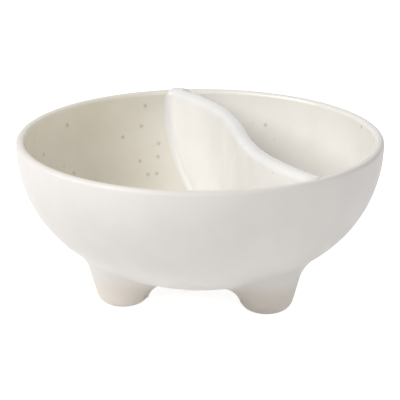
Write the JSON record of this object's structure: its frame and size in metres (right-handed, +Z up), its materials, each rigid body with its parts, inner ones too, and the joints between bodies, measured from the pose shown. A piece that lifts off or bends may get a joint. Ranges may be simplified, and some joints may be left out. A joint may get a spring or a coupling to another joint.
{
  "type": "divided serving bowl",
  "caption": "Round stoneware serving bowl on short tapered feet, split by a wavy divider into a larger and a smaller compartment, with a speckled glaze inside.",
  "frame": {"origin": "on the table, under the bowl's axis", "axes": "+Z up, +X from the axis towards the smaller compartment, Y along the divider"},
  "size_m": [0.17, 0.17, 0.0779],
  "materials": {
    "cream_glaze": "satin cream-white glaze on stoneware",
    "speckled_glaze": "gloss oatmeal glaze with fine iron specks"
  },
  "bodies": {
    "root": {"bowl": "cream_glaze", "divider": "speckled_glaze", "foot_left": "cream_glaze", "foot_right": "cream_glaze", "foot_back": "cream_glaze"}
  },
  "joints": []
}
